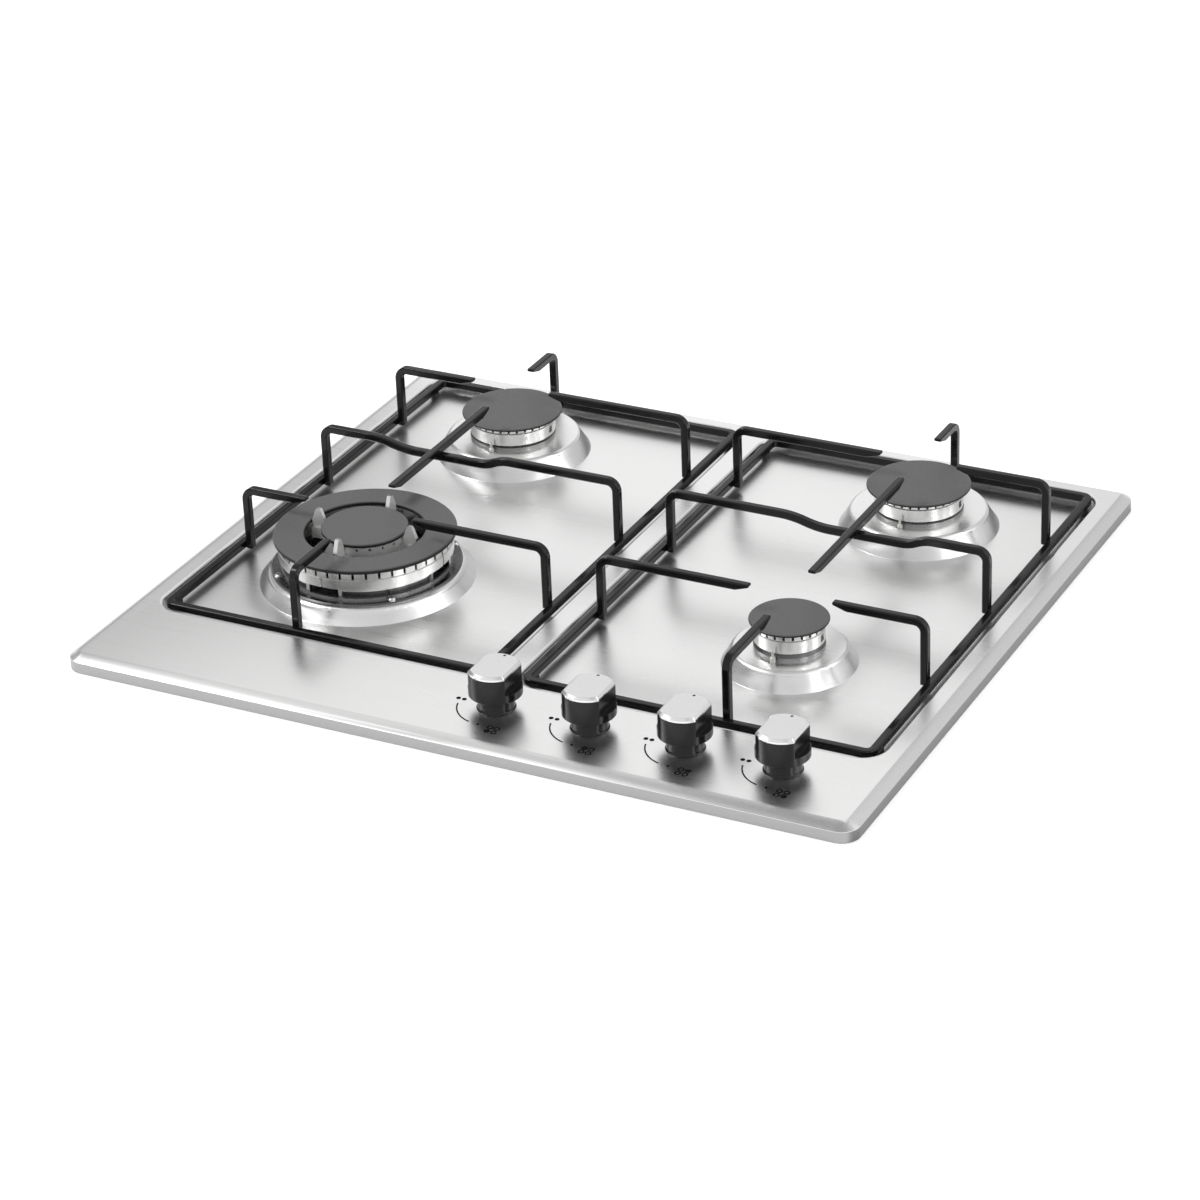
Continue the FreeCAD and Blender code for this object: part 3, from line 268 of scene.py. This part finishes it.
enamelSettings = {
    "specular": 0.26,
    "colors": ((0.004, 0.004, 0.0045), (0.007, 0.007, 0.0075)),
    "colorScale": 400,
    "gloss": (0.08, 0.16),
    "glossScale": 90,
    "bump": (0.2, 0.15 * mm),
    "bumpScale": 240,
}


def blackEnamel(settings):
    shade = Shade("blackEnamel", **{"Specular IOR Level": settings["specular"]})
    shade.tint(shade.noise(settings["colorScale"]), *settings["colors"])
    shade.span(shade.noise(settings["glossScale"]), *settings["gloss"], "Roughness")
    shade.bump(shade.noise(settings["bumpScale"]), *settings["bump"])
    return shade.material


capSettings = {
    "specular": 0.3,
    "speckleScale": 1400,
    "top": ((0.085, 0.085, 0.087), (0.125, 0.125, 0.127)),
    # painted shade on the sides
    "side": grey(0.012),
    "topFacing": (0.35, 0.9),
    "gloss": (0.42, 0.58),
    "glossScale": 900,
    "bump": (0.12, 0.1 * mm),
}


def capEnamel(settings):
    # matt grey on top, near black down the sides as painted shade
    shade = Shade("capEnamel", **{"Specular IOR Level": settings["specular"]})
    speckle = shade.noise(settings["speckleScale"])
    top = shade.mix(speckle, *settings["top"])
    # painted shade: near black where the surface faces sideways
    shade.tint(shade.upward(*settings["topFacing"]), settings["side"], top)
    shade.span(shade.noise(settings["glossScale"]), *settings["gloss"], "Roughness")
    shade.bump(speckle, *settings["bump"])
    return shade.material


crownSettings = {
    "turned": {"scale": 1, "stretch": (60, 60, 2600)},
    "side": ((0.64, 0.64, 0.63), (0.76, 0.76, 0.75)),
    "top": (0.34, 0.34, 0.335),
    "topFacing": (0.35, 0.8),
    "gloss": (0.28, 0.5),
    "bump": (0.06, 0.06 * mm),
}


def castAluminium(settings):
    # bright turned sides and a dull top
    shade = Shade("castAluminium", **{"Metallic": 1.0})
    turned = shade.noise(**settings["turned"])
    top = shade.upward(*settings["topFacing"])
    shade.tint(top, shade.mix(turned, *settings["side"]), settings["top"])
    shade.span(top, *settings["gloss"], "Roughness")
    shade.bump(turned, *settings["bump"])
    return shade.material


wideCrownSettings = {
    "turned": {"scale": 1, "stretch": (60, 60, 2600)},
    "side": ((0.68, 0.68, 0.67), (0.82, 0.82, 0.81)),
    "top": (0.36, 0.36, 0.355),
    "topFacing": (0.35, 0.8),
    # painted shade on the recessed wall behind the windows
    "wall": grey(0.10),
    "wallDepth": (12 * mm, 2.45 * mm),  # in from the outside
    "wallTop": 8 * mm,
    "coreDepth": 20 * mm,
    "metallic": (1.0, 0.45),  # outside the core, then in it
    "gloss": (0.27, 0.5),
    "bump": (0.05, 0.05 * mm),
}


def wideCrownMetal(settings):
    # the same casting, with painted shade on the wall behind the windows, dull and pale in
    # its core
    low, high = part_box("burner_crown_front_left")
    middle = (low + high) / 2
    radius = (high.x - low.x) / 2
    shade = Shade("wideCrownMetal")
    turned = shade.noise(**settings["turned"])
    top = shade.upward(*settings["topFacing"])
    bright = shade.mix(top, shade.mix(turned, *settings["side"]), settings["top"])
    # painted shade on the recessed wall behind the windows
    inner, outer = [radius - depth for depth in settings["wallDepth"]]
    wall = shade.within(middle, inner, outer, low.z + settings["wallTop"])
    shade.tint(wall, bright, settings["wall"])
    core = shade.within(middle, 0, radius - settings["coreDepth"], high.z)
    shade.span(core, *settings["metallic"], "Metallic")
    shade.span(top, *settings["gloss"], "Roughness")
    shade.bump(turned, *settings["bump"])
    return shade.material


cupSettings = {
    "turned": {"scale": 1, "stretch": (90, 90, 1800)},
    "flange": ((0.085, 0.085, 0.086), (0.14, 0.14, 0.142)),
    "bore": grey(0.30),
    "flangeFacing": (-0.2, 0.6),
    "gloss": (0.24, 0.36),
    "glossScale": 300,
    "bump": (0.08, 0.1 * mm),
}


def darkCup(settings):
    # a smooth dark mirror on the flange, paler down in the bore
    shade = Shade("darkCup", **{"Metallic": 1.0})
    turned = shade.noise(**settings["turned"])
    flange = shade.mix(turned, *settings["flange"])
    shade.tint(shade.upward(*settings["flangeFacing"]), settings["bore"], flange)
    shade.span(shade.noise(settings["glossScale"]), *settings["gloss"], "Roughness")
    shade.bump(turned, *settings["bump"])
    return shade.material


knobSettings = {
    "roughness": 0.20,
    "specular": 0.32,
    "colors": ((0.004, 0.004, 0.0045), (0.007, 0.007, 0.0075)),
    "colorScale": 300,
    "bump": (0.05, 0.05 * mm),
    "bumpScale": 2200,
    "bumpDetail": 1,
}


def knobPlastic(settings):
    shade = Shade("knobPlastic", **{"Roughness": settings["roughness"],
                                    "Specular IOR Level": settings["specular"]})
    shade.tint(shade.noise(settings["colorScale"]), *settings["colors"])
    shade.bump(shade.noise(settings["bumpScale"], settings["bumpDetail"]), *settings["bump"])
    return shade.material


chromeSettings = {
    "rub": {"scale": 1, "detail": 3, "stretch": (30, 1800, 1800), "roughness": 0.6},
    "colors": (grey(0.66), grey(0.78)),
    "gloss": (0.13, 0.22),
    "bump": (0.06, 0.05 * mm),
}


def polishedChrome(settings):
    shade = Shade("polishedChrome", **{"Metallic": 1.0})
    rub = shade.noise(**settings["rub"])
    shade.tint(rub, *settings["colors"])
    shade.span(rub, *settings["gloss"], "Roughness")
    shade.bump(rub, *settings["bump"])
    return shade.material


zincSettings = {
    "metallic": 0.9,
    "spangle": 110,
    "colors": ((0.42, 0.43, 0.44), (0.60, 0.61, 0.62)),
    "gloss": (0.36, 0.52),
}


def zincSteel(settings):
    shade = Shade("zincSteel", **{"Metallic": settings["metallic"]})
    cells = shade.add("ShaderNodeTexVoronoi", {
        "Vector": shade.coordinates(), "Scale": settings["spangle"]}).outputs["Color"]
    shade.tint(cells, *settings["colors"])
    shade.span(cells, *settings["gloss"], "Roughness")
    return shade.material


# name, darker and lighter colour, roughness where it is smoothest
plainMetals = {
    "brass": ("turnedBrass", (0.52, 0.36, 0.13), (0.66, 0.48, 0.20), 0.22),
    "bright": ("brightSteel", grey(0.52), grey(0.66), 0.2),
    "tube": ("drawnTube", grey(0.62), grey(0.74), 0.28),
}

# the same, and the specular level
plainPlastics = {
    "ceramic": ("glazedCeramic", (0.50, 0.49, 0.47), (0.62, 0.61, 0.58), 0.18, 0.5),
    "housing": ("darkHousing", (0.03, 0.03, 0.032), (0.045, 0.045, 0.048), 0.45, 0.5),
    "rubber": ("softRubber", grey(0.018), grey(0.03), 0.6, 0.5),
    "ink": ("panelInk", grey(0.006), grey(0.01), 0.5, 0.05),
}

plainSettings = {
    "metalGrain": {"scale": 600, "detail": 3},
    "metalSpread": 0.12,
    "metalBump": (0.08, 0.08 * mm),
    "plasticGrain": {"scale": 1500},
    "plasticSpread": 0.1,
    "plasticBump": (0.15, 0.08 * mm),
}


def plainMetal(settings, name, dark, light, rough):
    shade = Shade(name, **{"Metallic": 1.0})
    grain = shade.noise(**settings["metalGrain"])
    shade.tint(grain, dark, light)
    shade.span(grain, rough, rough + settings["metalSpread"], "Roughness")
    shade.bump(grain, *settings["metalBump"])
    return shade.material


def plainPlastic(settings, name, dark, light, rough, specular):
    shade = Shade(name, **{"Specular IOR Level": specular})
    grain = shade.noise(**settings["plasticGrain"])
    shade.tint(grain, dark, light)
    shade.span(grain, rough, rough + settings["plasticSpread"], "Roughness")
    shade.bump(grain, *settings["plasticBump"])
    return shade.material


def makeMaterials():
    made = {
        "steel": brushedSteel(steelSettings),
        "enamel": blackEnamel(enamelSettings),
        "cap": capEnamel(capSettings),
        "crown": castAluminium(crownSettings),
        "wideCrown": wideCrownMetal(wideCrownSettings),
        "cup": darkCup(cupSettings),
        "knob": knobPlastic(knobSettings),
        "chrome": polishedChrome(chromeSettings),
        "zinc": zincSteel(zincSettings),
    }
    for key, values in plainMetals.items():
        made[key] = plainMetal(plainSettings, *values)
    for key, values in plainPlastics.items():
        made[key] = plainPlastic(plainSettings, *values)
    print("materials made:", len(made))
    return made


# start of a node's name: material, edge rounding in mm (0 keeps the CAD mesh)
nodeFinishes = {
    "top_panel": ("steel", 0.5),
    "rim_seal": ("rubber", 0),
    "base_pan": ("zinc", 0),
    "burner_cup": ("cup", 0),
    "burner_crown": ("crown", 0.3),
    "burner_crown_front_left": ("wideCrown", 0.3),
    "burner_cap": ("cap", 0.4),
    "inner_cap": ("cap", 0.4),
    "injectors": ("brass", 0),
    "spark_electrodes": ("ceramic", 0),
    "knob_collars": ("knob", 0.4),
    "knob_cap": ("chrome", 0.25),
    "knob": ("knob", 0.7),
    "tap_body": ("tube", 0),
    "tap_plug": ("brass", 0),
    "spindle": ("bright", 0),
    "manifold_rail": ("zinc", 0),
    "feed_pipe": ("tube", 0),
    "gas_inlet_elbow": ("brass", 0),
    "ignition_module": ("housing", 0),
    "micro_switches": ("housing", 0),
    "terminal_block": ("housing", 0),
    "grate_frame": ("enamel", 0.9),
    "grate_bar": ("enamel", 0.9),
    "grate_fingers": ("enamel", 0.9),
    "grate_feet": ("rubber", 0),
    "burner_screws": ("bright", 0.2),
    "pan_screws": ("bright", 0),
    "worktop_clamps": ("zinc", 0),
    "clamp_screws": ("bright", 0),
}

# corners closer than weld become one; angles in degrees
roundingSettings = {
    "weld": 0.002 * mm,
    "flatAngle": 0.6,
    "sharpAngle": 32,
    "segments": 3,
}


def finishOf(node):
    fits = [key for key in nodeFinishes if node.startswith(key)]
    return nodeFinishes[max(fits, key=len)]


def bodyOfNode(node):
    for body, members in frame["record"]["behaviour"]["bodies"].items():
        if node in members:
            return body


def roundedCopy(settings, node, width, material):
    # the CAD piece again, with its sharp edges broken as on the real one
    sharp = math.radians(settings["sharpAngle"])
    mesh = bpy.data.meshes.new(node + "Rounded")
    work = bmesh.new()
    work.from_mesh(frame["nodes"][node].data)
    bmesh.ops.remove_doubles(work, verts=work.verts, dist=settings["weld"])
    bmesh.ops.dissolve_limit(work, angle_limit=math.radians(settings["flatAngle"]),
                             verts=work.verts, edges=work.edges)
    work.to_mesh(mesh)
    work.free()
    for name in [item.name for item in mesh.attributes if item.name == "custom_normal"]:
        mesh.attributes.remove(mesh.attributes[name])
    piece = bpy.data.objects.new(node + "Rounded", mesh)
    bpy.context.collection.objects.link(piece)
    bevel = piece.modifiers.new("bevel", "BEVEL")
    bevel.width = width * mm
    bevel.segments = settings["segments"]
    bevel.limit_method = "ANGLE"
    bevel.angle_limit = sharp
    bevel.use_clamp_overlap = True
    weighted = piece.modifiers.new("weighted", "WEIGHTED_NORMAL")
    weighted.keep_sharp = True
    mesh.shade_smooth()
    mesh.set_sharp_from_angle(angle=sharp)
    mesh.materials.append(material)
    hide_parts(node)
    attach(piece, bodyOfNode(node))


def finishNodes(materials):
    for node, item in frame["nodes"].items():
        material, width = finishOf(node)
        if width:
            roundedCopy(roundingSettings, node, width, materials[material])
            continue
        item.data.materials.clear()
        item.data.materials.append(materials[material])
    print("CAD nodes finished:", len(frame["nodes"]))


# printed signs round each knob, in mm and degrees; offsets are from the knob's axis
markSettings = {
    "height": 0.12,
    "dotRadius": 1.0,
    "dotSides": 16,
    "arcRadius": 26.0,
    "arcStart": 194.0,
    "arcEnd": 254.0,
    "arcWidth": 1.0,
    "arcSteps": 24,
    "flameOffset": (-26.0, 0.0),
    "flameRadius": 1.6,
    "flameSpread": 1.35,  # in radii, to each side
    "flameSides": 20,
    "burnerOffset": (12.0, -29.0),
    "burnerPitch": 5.0,
    "burnerRadius": 2.2,
    "burnerSides": 28,
    "burnerLine": 0.9,
}

# a black disc sunk in the pointer hole at the far edge of each bright cap, painted shade for
# the hole; in mm
dotSettings = {
    "offset": 14.4,
    "radius": 0.95,
    "sides": 20,
    "thick": 0.4,
    "sunk": 0.1,
}

# which way each burner lies from the middle of its sign
burnerCorners = {
    "rear_left": (-0.5, 0.5),
    "rear_right": (0.5, 0.5),
    "front_left": (-0.5, -0.5),
    "front_right": (0.5, -0.5),
}


def makeMark(name, outlines, material, body, low, high):
    # flat printed shapes between two levels; each outline may have a hole
    mesh = bpy.data.meshes.new(name)
    work = bmesh.new()
    for outline in outlines:
        rings = []
        for points in outline:
            top = [work.verts.new((x * mm, y * mm, high)) for x, y in points]
            foot = [work.verts.new((x * mm, y * mm, low)) for x, y in points]
            rings.append(top)
            for i in range(len(top)):
                j = (i + 1) % len(top)
                work.faces.new((top[i], top[j], foot[j], foot[i]))
        if len(rings) == 1:
            work.faces.new(rings[0])
            continue
        outer, inner = rings
        for i in range(len(outer)):
            j = (i + 1) % len(outer)
            work.faces.new((outer[i], outer[j], inner[j], inner[i]))
    bmesh.ops.recalc_face_normals(work, faces=work.faces)
    work.to_mesh(mesh)
    work.free()
    piece = bpy.data.objects.new(name, mesh)
    mesh.materials.append(material)
    bpy.context.collection.objects.link(piece)
    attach(piece, body)


def circlePoints(x, y, radius, sides):
    angles = [2 * math.pi * i / sides for i in range(sides)]
    return [(x + radius * math.cos(a), y + radius * math.sin(a)) for a in angles]


def arcPoints(x, y, settings):
    start, end = settings["arcStart"], settings["arcEnd"]
    steps, half = settings["arcSteps"], settings["arcWidth"] / 2
    angles = [math.radians(start + (end - start) * i / steps) for i in range(steps + 1)]
    outside, inside = [
        [(x + radius * math.cos(a), y + radius * math.sin(a)) for a in angles]
        for radius in (settings["arcRadius"] + half, settings["arcRadius"] - half)]
    return outside + inside[::-1]


def makeMarks(settings, material):
    radius = settings["flameRadius"]
    for name in knobNames:
        low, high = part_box("spindle_" + name)
        middle = (low + high) / 2 / mm
        x, y = middle.x, middle.y
        outlines = [
            [circlePoints(x, y - settings["arcRadius"], settings["dotRadius"],
                          settings["dotSides"])],
            [arcPoints(x, y, settings)],
        ]
        flameX, flameY = x + settings["flameOffset"][0], y + settings["flameOffset"][1]
        for side in (-settings["flameSpread"], settings["flameSpread"]):
            outlines.append([circlePoints(flameX + side * radius, flameY, radius,
                                          settings["flameSides"])])
        signX, signY = x + settings["burnerOffset"][0], y + settings["burnerOffset"][1]
        for corner, (i, j) in burnerCorners.items():
            place = signX + i * settings["burnerPitch"], signY + j * settings["burnerPitch"]
            radii = [settings["burnerRadius"]]
            if corner != name:
                radii.append(settings["burnerRadius"] - settings["burnerLine"])
            outlines.append([circlePoints(*place, size, settings["burnerSides"])
                             for size in radii])
        makeMark("panelMarks_" + name, outlines, material, "cooktop", panelTop,
                 panelTop + settings["height"] * mm)
    print("printed marks made")


def makeKnobHoleShades(settings, material):
    for name in knobNames:
        low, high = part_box("knob_cap_" + name)
        x, y = (low.x + high.x) / 2 / mm, (low.y + high.y) / 2 / mm + settings["offset"]
        level = high.z - settings["sunk"] * mm
        circle = circlePoints(x, y, settings["radius"], settings["sides"])
        # painted shade: a black disc in the hole
        makeMark("knobDot_" + name, [[circle]], material, "control_" + name,
                 level - settings["thick"] * mm, level)
    print("knob dots made")


studioSettings = {
    "floorSize": 60.0,
    "floorGap": 0.3 * mm,
    "floorColor": grey(0.92),
    "floorRoughness": 0.8,
    "holeMargin": (9 * mm, 2 * mm),  # inside the base pan and the outermost clamps
    "shadowGlow": 0.36,
    "worldStrength": 0.7,
}

# place, size in metres, power in watts
lampSettings = {
    "keyLamp": ((-1.5, -0.6, 1.9), (0.9, 0.5), 26.0),
    "fillLamp": ((1.9, 0.6, 1.5), (1.2, 1.2), 10.0),
    "stripLamp": ((1.86, -0.62, 0.8), (0.18, 0.9), 4.0),
}

# grey screens that only reflections see, as a photographer flags bright metal:
# three corners above the worktop, from which the fourth follows, and their grey
flagSettings = {
    "left": (((-0.62, -0.75, 0.1), (-0.62, 0.75, 0.1), (-0.62, -0.75, 0.42)), 0.42),
    "back": (((0.0, 0.75, 0.1), (0.75, 0.75, 0.1), (0.0, 0.75, 0.80)), 0.82),
    "top": (((-1.0, -0.9, 1.5), (0.9, -0.9, 1.5), (-1.0, 0.9, 1.5)), 0.70),
}


def seenRays(nodes, links):
    # 1 for rays from the camera, off metal or through glass
    path = nodes.new("ShaderNodeLightPath")
    ray = path.outputs["Is Camera Ray"]
    for name in ("Is Glossy Ray", "Is Transmission Ray"):
        most = nodes.new("ShaderNodeMath")
        most.operation = "MAXIMUM"
        links.new(ray, most.inputs[0])
        links.new(path.outputs[name], most.inputs[1])
        ray = most.outputs[0]
    return ray


def stagePiece(name, points, faces, shade):
    mesh = bpy.data.meshes.new(name)
    mesh.from_pydata(points, [], faces)
    mesh.materials.append(shade.material)
    piece = bpy.data.objects.new(name, mesh)
    bpy.context.collection.objects.link(piece)


def makeFloor(settings):
    # a pale worktop under the panel's seal, cut out where the pan hangs through
    panLow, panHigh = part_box("base_pan")
    clampLow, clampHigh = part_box("worktop_clamps")
    sideMargin, endMargin = settings["holeMargin"]
    left, right = panLow.x + sideMargin, panHigh.x - sideMargin
    front, rear = clampLow.y + endMargin, clampHigh.y - endMargin
    half = settings["floorSize"] / 2
    corners = [(-half, -half), (half, -half), (half, half), (-half, half),
               (left, front), (right, front), (right, rear), (left, rear)]
    level = worktopLevel - settings["floorGap"]
    faces = [(i, (i + 1) % 4, 4 + (i + 1) % 4, 4 + i) for i in range(4)]
    shade = Shade("studioFloor", **{"Roughness": settings["floorRoughness"],
                                    "Base Color": settings["floorColor"],
                                    "Emission Color": grey(1.0)})
    seen = seenRays(shade.nodes, shade.links)
    shade.set("Emission Strength", shade.reckon("MULTIPLY", seen, settings["shadowGlow"]))
    stagePiece("studioFloor", [(x, y, level) for x, y in corners], faces, shade)


def makeFlags():
    for name, (corners, tone) in flagSettings.items():
        first, second, third = [Vector(corner) + Vector((0, 0, worktopLevel))
                                for corner in corners]
        shade = Shade(name + "Flag")
        path = shade.add("ShaderNodeLightPath")
        clear = shade.add("ShaderNodeBsdfTransparent")
        glow = shade.add("ShaderNodeEmission", {"Color": grey(tone)})
        blend = shade.add("ShaderNodeMixShader", {
            0: path.outputs["Is Glossy Ray"], 1: clear.outputs[0], 2: glow.outputs[0]})
        shade.links.new(blend.outputs[0], shade.nodes["Material Output"].inputs["Surface"])
        stagePiece(name + "Flag", [first, second, second + third - first, third],
                   [(0, 1, 2, 3)], shade)


def makeLamps():
    for name, (place, size, power) in lampSettings.items():
        data = bpy.data.lights.new(name, "AREA")
        data.shape = "RECTANGLE"
        data.size, data.size_y = size
        data.energy = power
        lamp = bpy.data.objects.new(name, data)
        lamp.location = place
        aim = Vector((0, 0, worktopLevel)) - Vector(place)
        lamp.rotation_euler = aim.to_track_quat("-Z", "Y").to_euler()
        bpy.context.collection.objects.link(lamp)


def makeWorld(settings):
    # white where the camera or a reflection sees it, softer as light on the object
    world = bpy.data.worlds.new("studio")
    bpy.context.scene.world = world
    world.use_nodes = True
    nodes, links = world.node_tree.nodes, world.node_tree.links
    back = nodes["Background"]
    back.inputs["Color"].default_value = (1, 1, 1, 1)
    strength = nodes.new("ShaderNodeMapRange")
    strength.inputs["To Min"].default_value = settings["worldStrength"]
    strength.inputs["To Max"].default_value = 1.0
    links.new(seenRays(nodes, links), strength.inputs["Value"])
    links.new(strength.outputs["Result"], back.inputs["Strength"])


def makeStudio():
    makeFloor(studioSettings)
    makeFlags()
    makeLamps()
    makeWorld(studioSettings)
    bpy.context.scene.view_settings.view_transform = "Standard"
    print("studio made")


makeCamera(cameraSettings)
materials = makeMaterials()
finishNodes(materials)
makeMarks(markSettings, materials["ink"])
makeKnobHoleShades(dotSettings, materials["ink"])
makeStudio()
